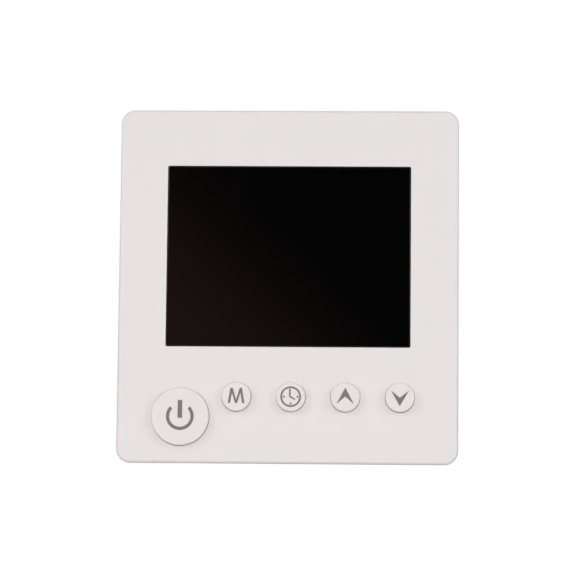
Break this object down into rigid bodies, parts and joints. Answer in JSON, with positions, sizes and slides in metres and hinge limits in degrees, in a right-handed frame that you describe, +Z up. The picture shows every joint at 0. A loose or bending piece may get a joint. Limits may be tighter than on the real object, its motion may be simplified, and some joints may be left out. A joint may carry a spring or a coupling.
{
  "type": "wall thermostat",
  "caption": "Square white wall thermostat with a flush black display window, a large round power key and a row of small round keys, on a steel wall plate with a back box.",
  "frame": {"origin": "on the wall's surface, midway between the two wall-screw slots", "axes": "-Y out of the wall into the room, so the face looks along -Y and the back box sinks along +Y; +Z up; +X to the right for a person who looks at the face"},
  "size_m": [0.086, 0.0436, 0.09],
  "materials": {
    "white_housing": "fine-grained satin warm white ABS",
    "white_keys": "satin warm white ABS, a little smoother than the housing",
    "black_window": "polished smoked acrylic, opaque with the display off",
    "rear_housing": "fine-grained off-white ABS",
    "grey_ink": "taupe pad-printing ink, for the signs on the keys in the visual model",
    "zinc_plate": "stamped zinc-plated steel",
    "zinc_screw": "zinc-plated steel screw",
    "black_screw": "nickel-plated steel",
    "adhesive_tape": "matt foam tape",
    "seal_foam": "closed-cell foam",
    "display_glass": "polished",
    "polariser_film": "smooth film",
    "clear_acrylic": "clear acrylic",
    "white_film": "white reflecting film",
    "led_resin": "yellow resin",
    "frame_plastic": "moulded white plastic",
    "tinned_metal": "bright tin",
    "green_board": "solder resist over glass fibre",
    "black_plastic": "moulded black plastic",
    "gold_contact": "plated brass",
    "cell_steel": "stainless steel",
    "bead_resin": "dipped black resin",
    "ceramic_parts": "glazed ceramic",
    "spring_steel": "bright stainless spring steel",
    "relay_case": "moulded blue-black plastic",
    "core_steel": "dark ferrite",
    "coil_tape": "yellow polyester tape",
    "capacitor_sleeve": "shrunk dark blue sleeve",
    "film_case": "yellow moulded case",
    "fuse_case": "brown moulded case",
    "varistor_resin": "dipped blue resin",
    "terminal_plastic": "moulded green polyamide"
  },
  "bodies": {
    "wall_plate": {"wall_plate": "zinc_plate"},
    "housing": {"front_cover": "white_housing", "display_window": "black_window", "window_tape": "adhesive_tape", "dust_seal": "seal_foam", "lcd_glass": "display_glass", "lcd_polarisers": "polariser_film", "light_guide": "clear_acrylic", "light_reflector": "white_film", "backlight_leds": "led_resin", "lcd_frame": "frame_plastic", "lcd_pins": "tinned_metal", "control_board": "green_board", "controller_chip": "black_plastic", "chip_leads": "tinned_metal", "clock_crystal": "cell_steel", "backup_cell": "cell_steel", "cell_clip": "spring_steel", "board_smd_parts": "ceramic_parts", "room_sensor": "bead_resin", "switch_bases": "black_plastic", "switch_plates": "spring_steel", "switch_domes": "spring_steel", "switch_legs": "tinned_metal", "pin_header": "black_plastic", "header_pins": "gold_contact", "board_socket": "black_plastic", "rear_cover": "rear_housing", "case_screws": "zinc_screw", "power_board": "green_board", "power_board_screws": "zinc_screw", "relay": "relay_case", "transformer_core": "core_steel", "transformer_coil": "coil_tape", "electrolytic_capacitors": "capacitor_sleeve", "film_capacitor": "film_case", "fuse": "fuse_case", "surge_varistor": "varistor_resin", "rectifier_diodes": "black_plastic", "mains_terminal_block": "terminal_plastic", "sensor_terminal_block": "terminal_plastic", "terminal_screws": "zinc_screw", "wire_clamps": "gold_contact"},
    "lock_screw": {"lock_screw": "black_screw"},
    "power_key": {"power_key": "white_keys"},
    "power_plunger": {"power_plunger": "black_plastic"},
    "mode_key": {"mode_key": "white_keys"},
    "mode_plunger": {"mode_plunger": "black_plastic"},
    "timer_key": {"timer_key": "white_keys"},
    "timer_plunger": {"timer_plunger": "black_plastic"},
    "up_key": {"up_key": "white_keys"},
    "up_plunger": {"up_plunger": "black_plastic"},
    "down_key": {"down_key": "white_keys"},
    "down_plunger": {"down_plunger": "black_plastic"}
  },
  "joints": [
    {"name": "unhook_lift", "type": "slide", "parent": "wall_plate", "child": "housing", "axis": [0, 0, 1], "range_m": [0, 0.003]},
    {"name": "lock_screw_back_out", "type": "slide", "parent": "housing", "child": "lock_screw", "axis": [0, 0, -1], "range_m": [0, 0.003]},
    {"name": "power_key_press", "type": "slide", "parent": "housing", "child": "power_key", "axis": [0, 1, 0], "range_m": [0, 0.0005], "stiffness_N_per_m": 4000},
    {"name": "power_plunger_press", "type": "slide", "parent": "housing", "child": "power_plunger", "axis": [0, 1, 0], "range_m": [0, 0.0003]},
    {"name": "mode_key_press", "type": "slide", "parent": "housing", "child": "mode_key", "axis": [0, 1, 0], "range_m": [0, 0.0005], "stiffness_N_per_m": 4000},
    {"name": "mode_plunger_press", "type": "slide", "parent": "housing", "child": "mode_plunger", "axis": [0, 1, 0], "range_m": [0, 0.0003]},
    {"name": "timer_key_press", "type": "slide", "parent": "housing", "child": "timer_key", "axis": [0, 1, 0], "range_m": [0, 0.0005], "stiffness_N_per_m": 4000},
    {"name": "timer_plunger_press", "type": "slide", "parent": "housing", "child": "timer_plunger", "axis": [0, 1, 0], "range_m": [0, 0.0003]},
    {"name": "up_key_press", "type": "slide", "parent": "housing", "child": "up_key", "axis": [0, 1, 0], "range_m": [0, 0.0005], "stiffness_N_per_m": 4000},
    {"name": "up_plunger_press", "type": "slide", "parent": "housing", "child": "up_plunger", "axis": [0, 1, 0], "range_m": [0, 0.0003]},
    {"name": "down_key_press", "type": "slide", "parent": "housing", "child": "down_key", "axis": [0, 1, 0], "range_m": [0, 0.0005], "stiffness_N_per_m": 4000},
    {"name": "down_plunger_press", "type": "slide", "parent": "housing", "child": "down_plunger", "axis": [0, 1, 0], "range_m": [0, 0.0003]}
  ],
  "couplings": [
    {"joint": "power_plunger_press", "follows": "power_key_press", "ratio": 0.6},
    {"joint": "mode_plunger_press", "follows": "mode_key_press", "ratio": 0.6},
    {"joint": "timer_plunger_press", "follows": "timer_key_press", "ratio": 0.6},
    {"joint": "up_plunger_press", "follows": "up_key_press", "ratio": 0.6},
    {"joint": "down_plunger_press", "follows": "down_key_press", "ratio": 0.6}
  ]
}
